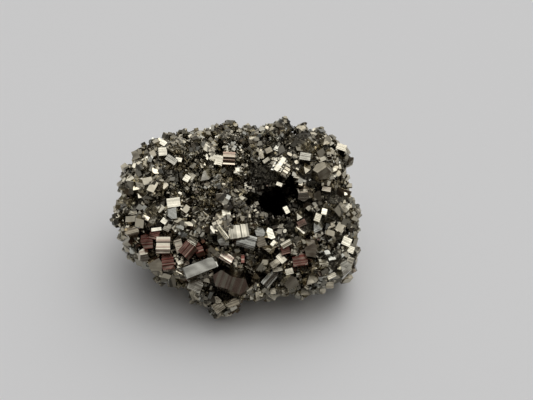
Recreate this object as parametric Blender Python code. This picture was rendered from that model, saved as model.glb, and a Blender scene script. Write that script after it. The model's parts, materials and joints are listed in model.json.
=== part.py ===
"""Pyrite specimen: one lump of intergrown pyrite crystals, about 75 mm across.

The lump is a rounded mass with a hole in its crystal face and a broken flat underneath.
Blocky crystals grow out of it on all sides and are fused with it in one solid.
Metres, +Z up, origin under the middle of the lump on the surface it rests on.
"""

import math
import random

import bmesh
import bpy
from mathutils import Euler, Matrix, Vector, noise

MM = 0.001

# The crystal face looks up and to the front, this far above the horizon.
FACE_TILT = math.radians(50)
ACROSS = Vector((1, 0, 0))
UP_FACE = Vector((0, math.sin(FACE_TILT), math.cos(FACE_TILT)))
OUT_OF_FACE = Vector((0, -math.cos(FACE_TILT), math.sin(FACE_TILT)))
FACE_FRAME = Matrix((ACROSS, UP_FACE, OUT_OF_FACE)).transposed()

# The places of the hole, the hollows and the crystals of the face are given as they look to a viewer
# this far in front of the lump's middle, in mm, who looks straight at this spot across and up the face.
VIEWED_FROM = 222
VIEWED_AT = (9.75, 5.4)

# Half widths of the lump across its face, in mm, every 5 degrees from the right side round by the top.
RIM = (37.5, 36.5, 37, 36, 34, 38, 39, 38, 37.5, 36, 35.5, 29.5,
       31.5, 28.5, 29.5, 24, 25.5, 26.5, 27, 25.5, 24.5, 25, 27.5, 28.5,
       27.5, 30, 31, 32, 32.5, 33.5, 34, 35, 37, 34.5, 34, 34.5,
       36, 34, 31.5, 31, 34.5, 31, 28, 28.5, 29, 26, 21, 22.5,
       24.5, 26.5, 27, 26, 27, 28, 26.5, 23, 21, 22.5, 24, 24.5,
       26.5, 26, 29, 32.5, 33, 37.5, 36.5, 40, 40, 36, 37.5, 37)
FRONT_BULGE = 15
BACK_BULGE = 21
# A higher power than 2 makes the lump's form squarer than an egg.
SQUARENESS = 2.4
MIDDLE = Vector((-1.1, -1.1, 20))
MEAN_RADIUS = 30

# Slow swells of the mass under the crystals: (wavelength, height) in mm.
SWELLS = ((18, 1.6), (8, 1.6))
SWELL_PATTERN = Vector((3, 7, 1))

# Hollows in the face: (across, up, width, depth) in mm.
HOLLOW_OUT = 13
HOLLOWS = (
    (12.6, 5.2, 8, 4.0),
    (7.0, 10.0, 5, 2.5),
    (2.5, 13.5, 4, 1.5),
    (29.0, 6.5, 4, 4.5),
    (32.8, -2.5, 3, 3.0),
    (30.5, -11.0, 3, 3.0),
    (24.0, -13.8, 2.5, 2.5),
    (22.5, 25.0, 4.5, 4.0),
    (11.0, 26.0, 3, 2.0),
    (-14.0, 15.5, 3, 3.0),
    (-19.0, 9.5, 3, 3.5),
    (-24.5, 6.0, 2.5, 2.0),
    (-30.0, 3.5, 2.5, 2.0),
    (-21.0, -3.0, 2.5, 3.0),
    (-8.5, -6.0, 3, 2.5),
    (-3.5, -22.0, 4, 4.5),
    (12.5, -21.0, 3, 3.0),
    (13.5, -2.5, 3, 2.0),
)

# The hole in the face: where it is, its half width and half height, and how far it goes in. A smaller
# hole opens into it at its upper right.
VUG_AT = (12.6, 4.6)
VUG_HALF = (5.4, 4.4)
VUG_DEPTH = 14
SIDE_HOLE_AT = (17.0, 9.0)
SIDE_HOLE_HALF = (2.6, 3.4)
SIDE_HOLE_DEPTH = 7
# How uneven the holes' walls are, as a share of their half widths, and how fine that is.
HOLE_ROUGHNESS = 0.5
HOLE_GRAIN = 1.7
# Scattered crystals keep away from the hole to this many times its half widths.
VUG_CLEAR = 1.7

# The large crystals of the face: (across, up), (width, height, depth), (yaw, pitch, spin).
# Yaw turns a crystal's front to the right, pitch turns it up, and spin turns it anticlockwise.
BLOCK, PYRITOHEDRON, CUT_CUBE = "block", "pyritohedron", "cut_cube"
FACE_CRYSTALS = (
    (BLOCK, (1.4, -4.5), (5.6, 3.8, 4.2), (2, 17, 9)),
    (BLOCK, (-2.9, -6.6), (3.4, 3.2, 3.2), (-10, 9, 2)),
    (BLOCK, (4.0, -7.2), (5.4, 3.6, 3.6), (-6, 15, -15)),
    (BLOCK, (-9.9, -15.0), (9.6, 3.4, 3.8), (0, 16, 22)),
    (PYRITOHEDRON, (-0.7, -18.9), (5.8, 8.8, 6.0), (-4, 0, 70)),
    (BLOCK, (13.6, 15.6), (5.0, 1.9, 2.8), (6, 20, 56)),
    (BLOCK, (15.4, 13.6), (3.4, 1.8, 2.4), (6, 18, 56)),
    (BLOCK, (-1.5, 17.5), (3.5, 3.6, 3.4), (5, 10, -3)),
    (BLOCK, (-18.0, 4.2), (3.9, 2.8, 3.0), (6, 19, 8)),
    (BLOCK, (-17.8, 1.3), (4.0, 3.4, 3.6), (-6, 14, -35)),
    (BLOCK, (-21.2, 19.4), (2.5, 2.6, 2.6), (4, 19, 5)),
    (BLOCK, (-18.5, 17.1), (3.5, 1.9, 2.6), (0, 15, -35)),
    (BLOCK, (-20.9, -8.6), (4.0, 4.8, 4.4), (2, 17, 0)),
    (PYRITOHEDRON, (-26.6, -11.2), (3.2, 3.2, 3.2), (0, 12, 10)),
    (CUT_CUBE, (-19.4, -13.4), (3.4, 4.2, 4.0), (-2, 14, 8)),
    (BLOCK, (-22.9, -13.7), (4.4, 4.2, 4.0), (-12, 9, 0)),
    (BLOCK, (-13.6, -9.8), (4.0, 4.0, 4.2), (2, 11, 50)),
    (BLOCK, (-16.2, -8.6), (2.2, 3.9, 3.2), (-2, 15, 16)),
    (BLOCK, (-12.4, -7.0), (3.1, 2.2, 2.6), (6, 20, -32)),
    (BLOCK, (-10.4, -9.5), (2.8, 4.4, 3.4), (-4, 11, 18)),
    (BLOCK, (-30.3, -4.2), (4.3, 2.8, 3.4), (-2, 13, 15)),
    (BLOCK, (-25.6, -7.2), (3.6, 4.2, 3.8), (-6, 11, 5)),
    (BLOCK, (-23.6, -5.2), (2.8, 2.5, 3.0), (2, 12, -15)),
    (BLOCK, (-8.6, 12.7), (3.5, 3.6, 3.8), (-4, 13, 12)),
    (BLOCK, (-2.3, 1.2), (2.4, 2.0, 2.4), (4, 20, 8)),
    (BLOCK, (-4.8, 0.7), (2.7, 2.5, 2.6), (-12, 9, 16)),
    (BLOCK, (-5.8, -3.9), (2.5, 2.1, 2.4), (4, 21, -5)),
    (BLOCK, (7.9, -4.4), (3.0, 2.5, 2.8), (-6, 15, -12)),
    (BLOCK, (10.9, -5.2), (3.0, 2.8, 2.8), (8, 21, -25)),
    (CUT_CUBE, (8.4, -7.2), (2.6, 2.8, 2.8), (-12, 9, 20)),
    (BLOCK, (14.1, -12.3), (2.9, 1.9, 2.4), (4, 19, -50)),
    (BLOCK, (12.3, -13.7), (2.9, 1.7, 2.4), (0, 16, 35)),
    (CUT_CUBE, (19.6, -12.7), (4.2, 3.5, 3.8), (2, 15, 8)),
    (BLOCK, (15.4, -9.8), (2.6, 2.2, 2.7), (0, 13, 15)),
    (BLOCK, (23.3, -9.0), (3.7, 4.8, 4.6), (-14, 5, -8)),
    (BLOCK, (33.5, -7.4), (2.7, 2.6, 2.8), (4, 20, -25)),
    (BLOCK, (34.3, -9.6), (3.0, 2.2, 2.8), (4, 19, -22)),
    (BLOCK, (32.6, -15.0), (4.6, 4.4, 4.8), (-8, 15, 42)),
    (BLOCK, (20.7, -4.4), (4.8, 2.4, 3.2), (6, 19, -12)),
    (BLOCK, (24.4, -2.4), (3.8, 4.0, 4.0), (-4, 14, 25)),
    (BLOCK, (19.1, 0.7), (3.0, 2.8, 2.8), (2, 18, 30)),
    (BLOCK, (27.4, 23.0), (3.4, 2.8, 3.2), (-2, 15, 20)),
    (BLOCK, (21.2, 14.6), (3.2, 2.8, 3.2), (2, 16, 40)),
    (PYRITOHEDRON, (26.4, 13.6), (4.8, 4.2, 4.2), (-6, 14, 35)),
    (BLOCK, (21.3, 18.0), (3.2, 2.3, 2.8), (-2, 16, -10)),
    (PYRITOHEDRON, (20.9, 7.2), (4.0, 3.8, 3.8), (-8, 8, 5)),
    (BLOCK, (-2.3, -12.1), (4.1, 2.5, 3.0), (4, 18, -32)),
    (BLOCK, (10.5, -9.6), (5.0, 2.6, 3.2), (-2, 14, 0)),
    (BLOCK, (11.0, -18.2), (2.6, 5.4, 3.2), (-6, 13, -40)),
    (BLOCK, (22.7, -18.0), (4.6, 3.6, 4.0), (2, 15, 15)),
    (BLOCK, (17.1, -19.0), (4.2, 4.0, 4.2), (-12, 5, 30)),
    (BLOCK, (-4.5, -26.6), (3.2, 3.0, 3.2), (0, 15, 35)),
    (BLOCK, (-0.8, -25.4), (4.3, 2.6, 3.2), (4, 14, 20)),
    (CUT_CUBE, (-11.2, -20.2), (4.0, 3.6, 4.0), (0, 14, -25)),
)
# How much of a face crystal's depth stands proud of the mass, and how near another crystal may come
# to its middle: this share of its longer side and this many mm more.
FACE_PROUD = 0.7
FACE_CLEAR = (0.45, 1.5)
# A cut cube keeps this share of the way from its middle to each corner.
CORNER_KEPT = 0.84

# Crystals scattered over the whole lump: how many sites, how far one strays from its site, the length
# of their edges in mm and the power that makes small ones commoner, how much longer or shorter one
# edge is than the others, and how far out of the mass their middles are in edge lengths.
SCATTER_SITES = 340
SCATTER_STRAY = 0.05
SCATTER_EDGE = (1.9, 4.3)
SMALL_BIAS = 1.6
STRETCH = (0.75, 1.3)
SCATTER_OUT = (-0.2, 0.1)
SEED = 11
# Where the face is fine grained: its middle and half widths across and up, and the share of their
# length that the edges of scattered crystals keep there.
FINE_AT = (-5, 12)
FINE_HALF = (15, 11)
FINE_SHARE = 0.55

# The share of the mass's triangles that is kept before the crystals are joined to it.
MASS_DETAIL = 0.6
# The floor's own cut, a cube this wide under the lump, and the lowest middle of a scattered crystal.
GROUND_SIZE = 200
LOWEST_MIDDLE = 0.5

PYRITE = (0.55, 0.51, 0.41)


def face_point(across, up, out=0.0):
    """The point this far across and up the crystal face and out of it, in mm from the lump's middle."""
    return MIDDLE + ACROSS * across + UP_FACE * up + OUT_OF_FACE * out


def viewed_point(across, up, out):
    """The point this far out of the face that looks to be this far across and up it."""
    share = 1 - out / VIEWED_FROM
    right, high = VIEWED_AT
    return face_point(right + (across - right) * share, high + (up - high) * share, out)


def viewed_place(point):
    """How far across and up the face a point looks to be, and how far out of it the point is."""
    across, up, out = (axis.dot(point - MIDDLE) for axis in (ACROSS, UP_FACE, OUT_OF_FACE))
    share = 1 - out / VIEWED_FROM
    right, high = VIEWED_AT
    return right + (across - right) / share, high + (up - high) / share, out


def rim_radius(turn):
    """Half width of the lump in this direction round its face, smooth between the stated values."""
    place = (turn / (2 * math.pi)) % 1 * len(RIM)
    first = int(place)
    part = place - first
    part = part * part * (3 - 2 * part)
    return RIM[first % len(RIM)] * (1 - part) + RIM[(first + 1) % len(RIM)] * part


def smooth_radius(direction):
    """Distance in mm from the middle to the lump's plain rounded form in this direction."""
    right, up, out = (direction.dot(axis) for axis in (ACROSS, UP_FACE, OUT_OF_FACE))
    sideways = math.hypot(right, up) / rim_radius(math.atan2(up, right))
    forwards = abs(out) / (FRONT_BULGE if out > 0 else BACK_BULGE)
    return (sideways ** SQUARENESS + forwards ** SQUARENESS) ** (-1 / SQUARENESS)


def lump_radius(direction):
    """Distance in mm from the middle to the surface of the mass in this direction."""
    radius = smooth_radius(direction)
    for wavelength, height in SWELLS:
        radius += height * noise.noise(direction * (MEAN_RADIUS / wavelength) + SWELL_PATTERN)
    for across, up, width, depth in HOLLOWS:
        towards = (viewed_point(across, up, HOLLOW_OUT) - MIDDLE).normalized()
        away = (direction - towards).length * radius / width
        radius -= depth * math.exp(-away * away)
    return radius


def lump_normal(direction):
    """Outward normal of the mass in this direction from its middle, from four points near it."""
    side = direction.orthogonal().normalized()
    other = direction.cross(side)
    step = 0.03
    near = [(direction + way * step).normalized() for way in (side, other, -side, -other)]
    points = [way * lump_radius(way) for way in near]
    return (points[0] - points[2]).cross(points[1] - points[3]).normalized()


def face_surface(across, up):
    """The first point of the mass that the viewer meets at this place across and up the face."""
    out = FRONT_BULGE + BACK_BULGE
    while out > -BACK_BULGE:
        ray = viewed_point(across, up, out) - MIDDLE
        if ray.length < lump_radius(ray.normalized()):
            break
        out -= 0.1
    return viewed_point(across, up, out)


def clear_scene():
    for old in list(bpy.data.objects):
        bpy.data.objects.remove(old)


def new_collection(name):
    made = bpy.data.collections.new(name)
    bpy.context.scene.collection.children.link(made)
    return made


def new_object(name, shape, collection):
    mesh = bpy.data.meshes.new(name)
    shape.to_mesh(mesh)
    shape.free()
    made = bpy.data.objects.new(name, mesh)
    collection.objects.link(made)
    return made


def make_lump(collection):
    """The mass itself: a ball pushed out to the lump's radius in every direction."""
    shape = bmesh.new()
    bmesh.ops.create_icosphere(shape, subdivisions=4, radius=1)
    for corner in shape.verts:
        direction = corner.co.normalized()
        corner.co = (MIDDLE + direction * lump_radius(direction)) * MM
    return new_object("pyrite_cluster", shape, collection)


def add_block(shape, place):
    """A cube or a longer block, one unit each way before its place stretches it."""
    bmesh.ops.create_cube(shape, size=1, matrix=place)


def add_cut_cube(shape, place):
    """A cube with its eight corners cut off."""
    made = bmesh.new()
    bmesh.ops.create_cube(made, size=1)
    for corner in [vertex.co.copy() for vertex in made.verts]:
        everything = made.verts[:] + made.edges[:] + made.faces[:]
        cut = bmesh.ops.bisect_plane(made, geom=everything, dist=1e-6, plane_co=corner * CORNER_KEPT,
                                     plane_no=corner, clear_outer=True)
        edges = [item for item in cut["geom_cut"] if isinstance(item, bmesh.types.BMEdge)]
        bmesh.ops.contextual_create(made, geom=edges)
    add_copy(shape, made, place)


def add_pyritohedron(shape, place):
    """The twelve-sided form: a cube with a low ridge raised across each of its faces."""
    ridge, height = 0.3125, 0.625
    cube_corner = 0.4167
    made = bmesh.new()
    for x in (-1, 1):
        for y in (-1, 1):
            for z in (-1, 1):
                made.verts.new(Vector((x, y, z)) * cube_corner)
            made.verts.new((0, x * height, y * ridge))
            made.verts.new((x * height, y * ridge, 0))
            made.verts.new((x * ridge, 0, y * height))
    bmesh.ops.convex_hull(made, input=made.verts[:])
    bmesh.ops.dissolve_limit(made, angle_limit=0.01, verts=made.verts[:], edges=made.edges[:])
    add_copy(shape, made, place)


def add_copy(shape, made, place):
    """Adds the finished form to the shape at its place."""
    bmesh.ops.transform(made, matrix=place, verts=made.verts[:])
    mesh = bpy.data.meshes.new("form")
    made.to_mesh(mesh)
    made.free()
    shape.from_mesh(mesh)
    bpy.data.meshes.remove(mesh)


FORMS = {BLOCK: add_block, PYRITOHEDRON: add_pyritohedron, CUT_CUBE: add_cut_cube}


def crystal_place(middle, turn, size):
    return Matrix.LocRotScale(middle * MM, turn, Vector(size) * MM)


def add_face_crystals(shape):
    """The large crystals of the face, each where its line meets the mass."""
    for form, (across, up), size, (yaw, pitch, spin) in FACE_CRYSTALS:
        turn = Euler((-math.radians(pitch), math.radians(yaw), 0), "XYZ").to_matrix()
        turn = FACE_FRAME @ turn @ Matrix.Rotation(math.radians(spin), 3, "Z")
        middle = face_surface(across, up) + OUT_OF_FACE * ((FACE_PROUD - 0.5) * size[2])
        FORMS[form](shape, crystal_place(middle, turn.to_quaternion(), size))


def scatter_sites():
    """Directions from the middle, spread evenly over the whole lump in a spiral."""
    golden_turn = math.pi * (3 - math.sqrt(5))
    for number in range(SCATTER_SITES):
        height = 1 - 2 * (number + 0.5) / SCATTER_SITES
        level = math.sqrt(1 - height * height)
        turn = number * golden_turn
        yield Vector((level * math.cos(turn), level * math.sin(turn), height))


def is_fine(point):
    """Whether a point is in the fine-grained part of the face."""
    across, up, out = viewed_place(point)
    return out > 0 and math.hypot((across - FINE_AT[0]) / FINE_HALF[0], (up - FINE_AT[1]) / FINE_HALF[1]) < 1


def is_taken(point):
    """Whether a point is too near a face crystal or the hole for a scattered crystal."""
    across, up, out = viewed_place(point)
    if out < 0:
        return False
    if math.hypot((across - VUG_AT[0]) / VUG_HALF[0], (up - VUG_AT[1]) / VUG_HALF[1]) < VUG_CLEAR:
        return True
    return any(math.hypot(across - x, up - y) < FACE_CLEAR[0] * max(width, height) + FACE_CLEAR[1]
               for _, (x, y), (width, height, _), _ in FACE_CRYSTALS)


def add_scattered_crystals(shape):
    """Blocks of many sizes, turned at random, spread over the lump on every side."""
    chance = random.Random(SEED)
    for site in scatter_sites():
        stray = Vector([chance.uniform(-SCATTER_STRAY, SCATTER_STRAY) for _ in range(3)])
        direction = (site + stray).normalized()
        foot = MIDDLE + direction * lump_radius(direction)
        edge = SCATTER_EDGE[0] + (SCATTER_EDGE[1] - SCATTER_EDGE[0]) * chance.random() ** SMALL_BIAS
        if is_fine(foot):
            edge *= FINE_SHARE
        size = [edge * chance.uniform(*STRETCH) for _ in range(3)]
        turn = Euler([chance.uniform(0, math.tau) for _ in range(3)]).to_quaternion()
        middle = foot + lump_normal(direction) * edge * chance.uniform(*SCATTER_OUT)
        if middle.z > LOWEST_MIDDLE and not is_taken(middle):
            add_block(shape, crystal_place(middle, turn, size))


def make_hole_cutter(name, at, half, depth, collection):
    """An uneven egg that leaves a hole in the face, long in the direction square to it."""
    shape = bmesh.new()
    bmesh.ops.create_icosphere(shape, subdivisions=2, radius=1)
    for corner in shape.verts:
        corner.co *= 1 + HOLE_ROUGHNESS * noise.noise(corner.co * HOLE_GRAIN)
    place = crystal_place(face_surface(*at), FACE_FRAME.to_quaternion(), (*half, depth))
    bmesh.ops.transform(shape, matrix=place, verts=shape.verts[:])
    return new_object(name, shape, collection)


def make_ground_cutter(collection):
    """A slab under the lump: what reaches into it is broken off flat."""
    shape = bmesh.new()
    size = GROUND_SIZE * MM
    bmesh.ops.create_cube(shape, size=size, matrix=Matrix.Translation((0, 0, -size / 2)))
    return new_object("ground_cutter", shape, collection)


def add_boolean(target, other, operation, overlapping=False):
    """Joins or cuts the target with another object, which is then only a helper."""
    step = target.modifiers.new(other.name, "BOOLEAN")
    step.operation = operation
    step.object = other
    step.use_self = overlapping
    other.hide_render = True
    other.display_type = "WIRE"


def pyrite_material():
    made = bpy.data.materials.new("pyrite")
    made.use_nodes = True
    surface = made.node_tree.nodes["Principled BSDF"]
    surface.inputs["Base Color"].default_value = (*PYRITE, 1)
    surface.inputs["Metallic"].default_value = 1.0
    surface.inputs["Roughness"].default_value = 0.3
    return made


def keep_outer_shell(target):
    """Applies the joins and drops any small gap that is closed in between the crystals."""
    graph = bpy.context.evaluated_depsgraph_get()
    solid = bpy.data.meshes.new_from_object(target.evaluated_get(graph))
    shape = bmesh.new()
    shape.from_mesh(solid)
    left = set(shape.verts)
    shells = []
    while left:
        reached = [left.pop()]
        for corner in reached:
            near = {edge.other_vert(corner) for edge in corner.link_edges} & left
            left -= near
            reached.extend(near)
        shells.append(reached)
    shells.sort(key=len)
    for shell in shells[:-1]:
        bmesh.ops.delete(shape, geom=shell, context="VERTS")
    shape.to_mesh(solid)
    shape.free()
    target.modifiers.clear()
    target.data = solid


def main():
    clear_scene()
    solids = new_collection("pyrite_specimen")
    helpers = new_collection("helpers")
    lump = make_lump(solids)
    coarse = lump.modifiers.new("coarse", "DECIMATE")
    coarse.ratio = MASS_DETAIL
    for name, *hole in (("vug", VUG_AT, VUG_HALF, VUG_DEPTH),
                        ("side_hole", SIDE_HOLE_AT, SIDE_HOLE_HALF, SIDE_HOLE_DEPTH)):
        add_boolean(lump, make_hole_cutter(name, *hole, helpers), "DIFFERENCE")
    crystals = bmesh.new()
    add_face_crystals(crystals)
    add_scattered_crystals(crystals)
    add_boolean(lump, new_object("crystal_forms", crystals, helpers), "UNION", overlapping=True)
    add_boolean(lump, make_ground_cutter(helpers), "DIFFERENCE")
    bpy.context.view_layer.update()
    keep_outer_shell(lump)
    lump.data.materials.clear()
    lump.data.materials.append(pyrite_material())


main()
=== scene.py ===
import json
import math
import random

import bpy
from mathutils import Euler, Matrix, Vector, noise
from mathutils.kdtree import KDTree

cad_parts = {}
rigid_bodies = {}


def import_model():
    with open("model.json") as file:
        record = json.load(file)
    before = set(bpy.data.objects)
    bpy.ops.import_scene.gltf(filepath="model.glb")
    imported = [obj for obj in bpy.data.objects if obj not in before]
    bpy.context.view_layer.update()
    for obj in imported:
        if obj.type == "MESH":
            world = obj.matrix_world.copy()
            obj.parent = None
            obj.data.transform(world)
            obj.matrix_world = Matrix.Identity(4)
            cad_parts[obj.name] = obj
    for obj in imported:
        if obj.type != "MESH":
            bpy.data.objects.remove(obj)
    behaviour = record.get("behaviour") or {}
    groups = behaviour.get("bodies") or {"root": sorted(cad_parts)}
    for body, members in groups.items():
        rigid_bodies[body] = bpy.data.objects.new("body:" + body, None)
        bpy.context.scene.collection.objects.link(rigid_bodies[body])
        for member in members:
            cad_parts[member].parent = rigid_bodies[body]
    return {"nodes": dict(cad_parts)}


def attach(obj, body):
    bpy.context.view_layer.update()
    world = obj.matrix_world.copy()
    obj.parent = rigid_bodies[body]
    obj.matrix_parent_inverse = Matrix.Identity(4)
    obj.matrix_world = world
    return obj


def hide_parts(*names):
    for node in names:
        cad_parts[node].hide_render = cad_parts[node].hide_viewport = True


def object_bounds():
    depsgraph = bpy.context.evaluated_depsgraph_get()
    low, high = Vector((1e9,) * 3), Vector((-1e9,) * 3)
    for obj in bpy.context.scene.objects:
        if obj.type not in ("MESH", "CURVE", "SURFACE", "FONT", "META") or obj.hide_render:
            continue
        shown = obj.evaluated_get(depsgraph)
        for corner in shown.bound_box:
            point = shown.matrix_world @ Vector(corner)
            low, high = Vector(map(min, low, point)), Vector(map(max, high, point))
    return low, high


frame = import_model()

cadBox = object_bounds()
mm = 0.001

# The lump as the CAD has it, in mm. Its crystal face looks up and to the front.
lump = {
    "faceTilt": math.radians(50),
    "viewedFrom": 222,  # places on the face are as they look from this far, straight before viewedAt
    "viewedAt": (9.75, 5.4),
    "rim": (37.5, 36.5, 37, 36, 34, 38, 39, 38, 37.5, 36, 35.5, 29.5,  # half widths every 5 degrees
            31.5, 28.5, 29.5, 24, 25.5, 26.5, 27, 25.5, 24.5, 25, 27.5, 28.5,
            27.5, 30, 31, 32, 32.5, 33.5, 34, 35, 37, 34.5, 34, 34.5,
            36, 34, 31.5, 31, 34.5, 31, 28, 28.5, 29, 26, 21, 22.5,
            24.5, 26.5, 27, 26, 27, 28, 26.5, 23, 21, 22.5, 24, 24.5,
            26.5, 26, 29, 32.5, 33, 37.5, 36.5, 40, 40, 36, 37.5, 37),
    "frontBulge": 15,
    "backBulge": 21,
    "squareness": 2.4,
    "middle": Vector((-1.1, -1.1, 20)),
    "meanRadius": 30,
    "swells": ((18, 1.6), (8, 1.6)),  # wavelength and height
    "swellPattern": Vector((3, 7, 1)),
    "hollowOut": 13,  # how far out of the middle the hollows are placed
    "hollows": (  # across, up, width, depth
        (12.6, 5.2, 8, 4.0), (7.0, 10.0, 5, 2.5), (2.5, 13.5, 4, 1.5), (29.0, 6.5, 4, 4.5),
        (32.8, -2.5, 3, 3.0), (30.5, -11.0, 3, 3.0), (24.0, -13.8, 2.5, 2.5), (22.5, 25.0, 4.5, 4.0),
        (11.0, 26.0, 3, 2.0), (-14.0, 15.5, 3, 3.0), (-19.0, 9.5, 3, 3.5), (-24.5, 6.0, 2.5, 2.0),
        (-30.0, 3.5, 2.5, 2.0), (-21.0, -3.0, 2.5, 3.0), (-8.5, -6.0, 3, 2.5), (-3.5, -22.0, 4, 4.5),
        (12.5, -21.0, 3, 3.0), (13.5, -2.5, 3, 2.0),
    ),
    "holes": (  # where, half width and half height, depth
        ((12.6, 4.6), (5.4, 4.4), 14),
        ((17.0, 9.0), (2.6, 3.4), 7),
    ),
    "holeRoughness": 0.5,
    "holeGrain": 1.7,
    "normalStep": 0.03,
    "surfaceStep": 0.1,
}
across = Vector((1, 0, 0))
upFace = Vector((0, math.sin(lump["faceTilt"]), math.cos(lump["faceTilt"])))
outOfFace = Vector((0, -math.cos(lump["faceTilt"]), math.sin(lump["faceTilt"])))
faceFrame = Matrix((across, upFace, outOfFace)).transposed()


def facePoint(right, up, out=0.0):
    return lump["middle"] + across * right + upFace * up + outOfFace * out


def viewedPoint(right, up, out):  # the point this far out that looks to be this far across and up
    share = 1 - out / lump["viewedFrom"]
    middle, height = lump["viewedAt"]
    return facePoint(middle + (right - middle) * share, height + (up - height) * share, out)


def viewedPlace(point):  # how far across and up the face a point in mm looks to be, and how far out it is
    away = point - lump["middle"]
    out = away.dot(outOfFace)
    share = 1 - out / lump["viewedFrom"]
    middle, height = lump["viewedAt"]
    return middle + (away.dot(across) - middle) / share, height + (away.dot(upFace) - height) / share, out


def rimRadius(turn):
    rim = lump["rim"]
    place = (turn / math.tau) % 1 * len(rim)
    first = int(place)
    part = place - first
    part = part * part * (3 - 2 * part)
    return rim[first % len(rim)] * (1 - part) + rim[(first + 1) % len(rim)] * part


def smoothRadius(direction):
    right, up, out = (direction.dot(axis) for axis in (across, upFace, outOfFace))
    power = lump["squareness"]
    sideways = math.hypot(right, up) / rimRadius(math.atan2(up, right))
    forwards = abs(out) / (lump["frontBulge"] if out > 0 else lump["backBulge"])
    return (sideways ** power + forwards ** power) ** (-1 / power)


def lumpRadius(direction):
    radius = smoothRadius(direction)
    for wavelength, height in lump["swells"]:
        radius += height * noise.noise(direction * (lump["meanRadius"] / wavelength) + lump["swellPattern"])
    for rightOf, upOf, width, depth in lump["hollows"]:
        towards = (viewedPoint(rightOf, upOf, lump["hollowOut"]) - lump["middle"]).normalized()
        away = (direction - towards).length * radius / width
        radius -= depth * math.exp(-away * away)
    return radius


def lumpNormal(direction):
    side = direction.orthogonal().normalized()
    other = direction.cross(side)
    near = [(direction + way * lump["normalStep"]).normalized() for way in (side, other, -side, -other)]
    points = [way * lumpRadius(way) for way in near]
    return (points[0] - points[2]).cross(points[1] - points[3]).normalized()


def faceSurface(right, up):  # what the viewer first meets of the mass at this place
    out = lump["frontBulge"] + lump["backBulge"]
    while out > -lump["backBulge"]:
        ray = viewedPoint(right, up, out) - lump["middle"]
        if ray.length < lumpRadius(ray.normalized()):
            break
        out -= lump["surfaceStep"]
    return viewedPoint(right, up, out)


# Blender helpers

def deselectAll():
    if bpy.context.object and bpy.context.object.mode != "OBJECT":
        bpy.ops.object.mode_set(mode="OBJECT")
    bpy.ops.object.select_all(action="DESELECT")


def pickOnly(piece):
    deselectAll()
    piece.select_set(True)
    bpy.context.view_layer.objects.active = piece


def applyModifier(piece, modifier):
    pickOnly(piece)
    bpy.ops.object.modifier_apply(modifier=modifier.name)


def addCube():
    deselectAll()
    bpy.ops.mesh.primitive_cube_add(size=1)
    return bpy.context.object


def editAll(piece, mode="VERT"):  # edit mode with all of the piece selected
    pickOnly(piece)
    bpy.ops.object.mode_set(mode="EDIT")
    bpy.ops.mesh.select_mode(type=mode)
    bpy.ops.mesh.select_all(action="SELECT")


# Crystal forms, each one unit wide and modelled once

forms = {
    "cubeHalf": 0.5,
    "edgeBevel": 0.03,
    "cornerCut": 0.24,
    "chips": (((0.3, 0.3, 0.3), (1, 0.8, 1.2)), ((-0.36, -0.3, 0.36), (-1, -0.6, 1.1)),
              ((0.42, -0.4, 0), (1, -0.9, 0.2))),
    "cubeCorner": 0.4167,  # a pyritohedron's corners, and its ridges: how far out and half how long
    "ridgeOut": 0.625,
    "ridgeHalf": 0.3125,
    "flatWithin": 0.01,  # radians
    "steps": (((0.64, 0.72, 0.3), (0.1, -0.12, 0.46)),  # size and middle
              ((0.3, 0.6, 0.66), (0.46, 0.14, -0.1))),
    "ribStart": 0.95,  # width at the first end, then the thickness of each layer and the width it ends at
    "ribs": ((0.14, 1.0), (0.05, 0.93), (0.17, 0.99), (0.04, 1.0), (0.19, 0.92), (0.06, 1.0),
             (0.17, 0.96), (0.05, 0.93), (0.13, 0.99)),
    "bands": ((0.28, 1.0), (0.07, 0.94), (0.28, 0.98), (0.1, 1.0), (0.27, 0.95)),
    "brokenCuts": (((0.36, 0.34, 0), (1, 0.7, 0.15)), ((-0.38, -0.3, 0), (-1, -0.5, 0.1)),
                   ((-0.2, 0.3, 0.4), (-0.3, 0.5, 1))),
    "shardCuts": (((0.2, 0.1, 0.3), (0.9, 0.3, 1)), ((-0.3, 0, 0.25), (-1, 0.5, 0.7)),
                  ((0, -0.34, -0.1), (0.4, -1, -0.5)), ((0.1, 0.36, 0.2), (-0.3, 1, 0.4))),
    "splinterCuts": (((0.1, 0, 0.42), (0.5, 0.6, 1)), ((0.3, 0, 0), (1, -0.4, 0.3)),
                     ((-0.2, -0.2, 0), (-1, -0.8, 0.2))),
}


def plainForm():
    return addCube()


def blockForm():
    piece = addCube()
    editAll(piece, "EDGE")
    bpy.ops.mesh.bevel(offset=forms["edgeBevel"], segments=1)
    return piece


def cutForm():
    piece = addCube()
    editAll(piece)
    bpy.ops.mesh.bevel(offset=forms["cornerCut"], affect="VERTICES")
    return piece


def breakOff(piece, cuts):  # breaks a piece off along each of these planes
    for point, normal in cuts:
        editAll(piece)
        bpy.ops.mesh.bisect(plane_co=point, plane_no=normal, use_fill=True, clear_outer=True)
    return piece


def chippedForm():
    return breakOff(addCube(), forms["chips"])


def shardForm():
    return breakOff(addCube(), forms["shardCuts"])


def splinterForm():
    return breakOff(addCube(), forms["splinterCuts"])


def brokenForm():
    return breakOff(addCube(), forms["brokenCuts"])


def steppedForm():  # a cube with thinner ones grown on two of its faces
    parts = [addCube()]
    for size, middle in forms["steps"]:
        step = addCube()
        step.scale = size
        step.location = middle
        parts.append(step)
    deselectAll()
    for part in parts:
        part.select_set(True)
    bpy.context.view_layer.objects.active = parts[0]
    bpy.ops.object.transform_apply()
    bpy.ops.object.join()
    return parts[0]


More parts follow.
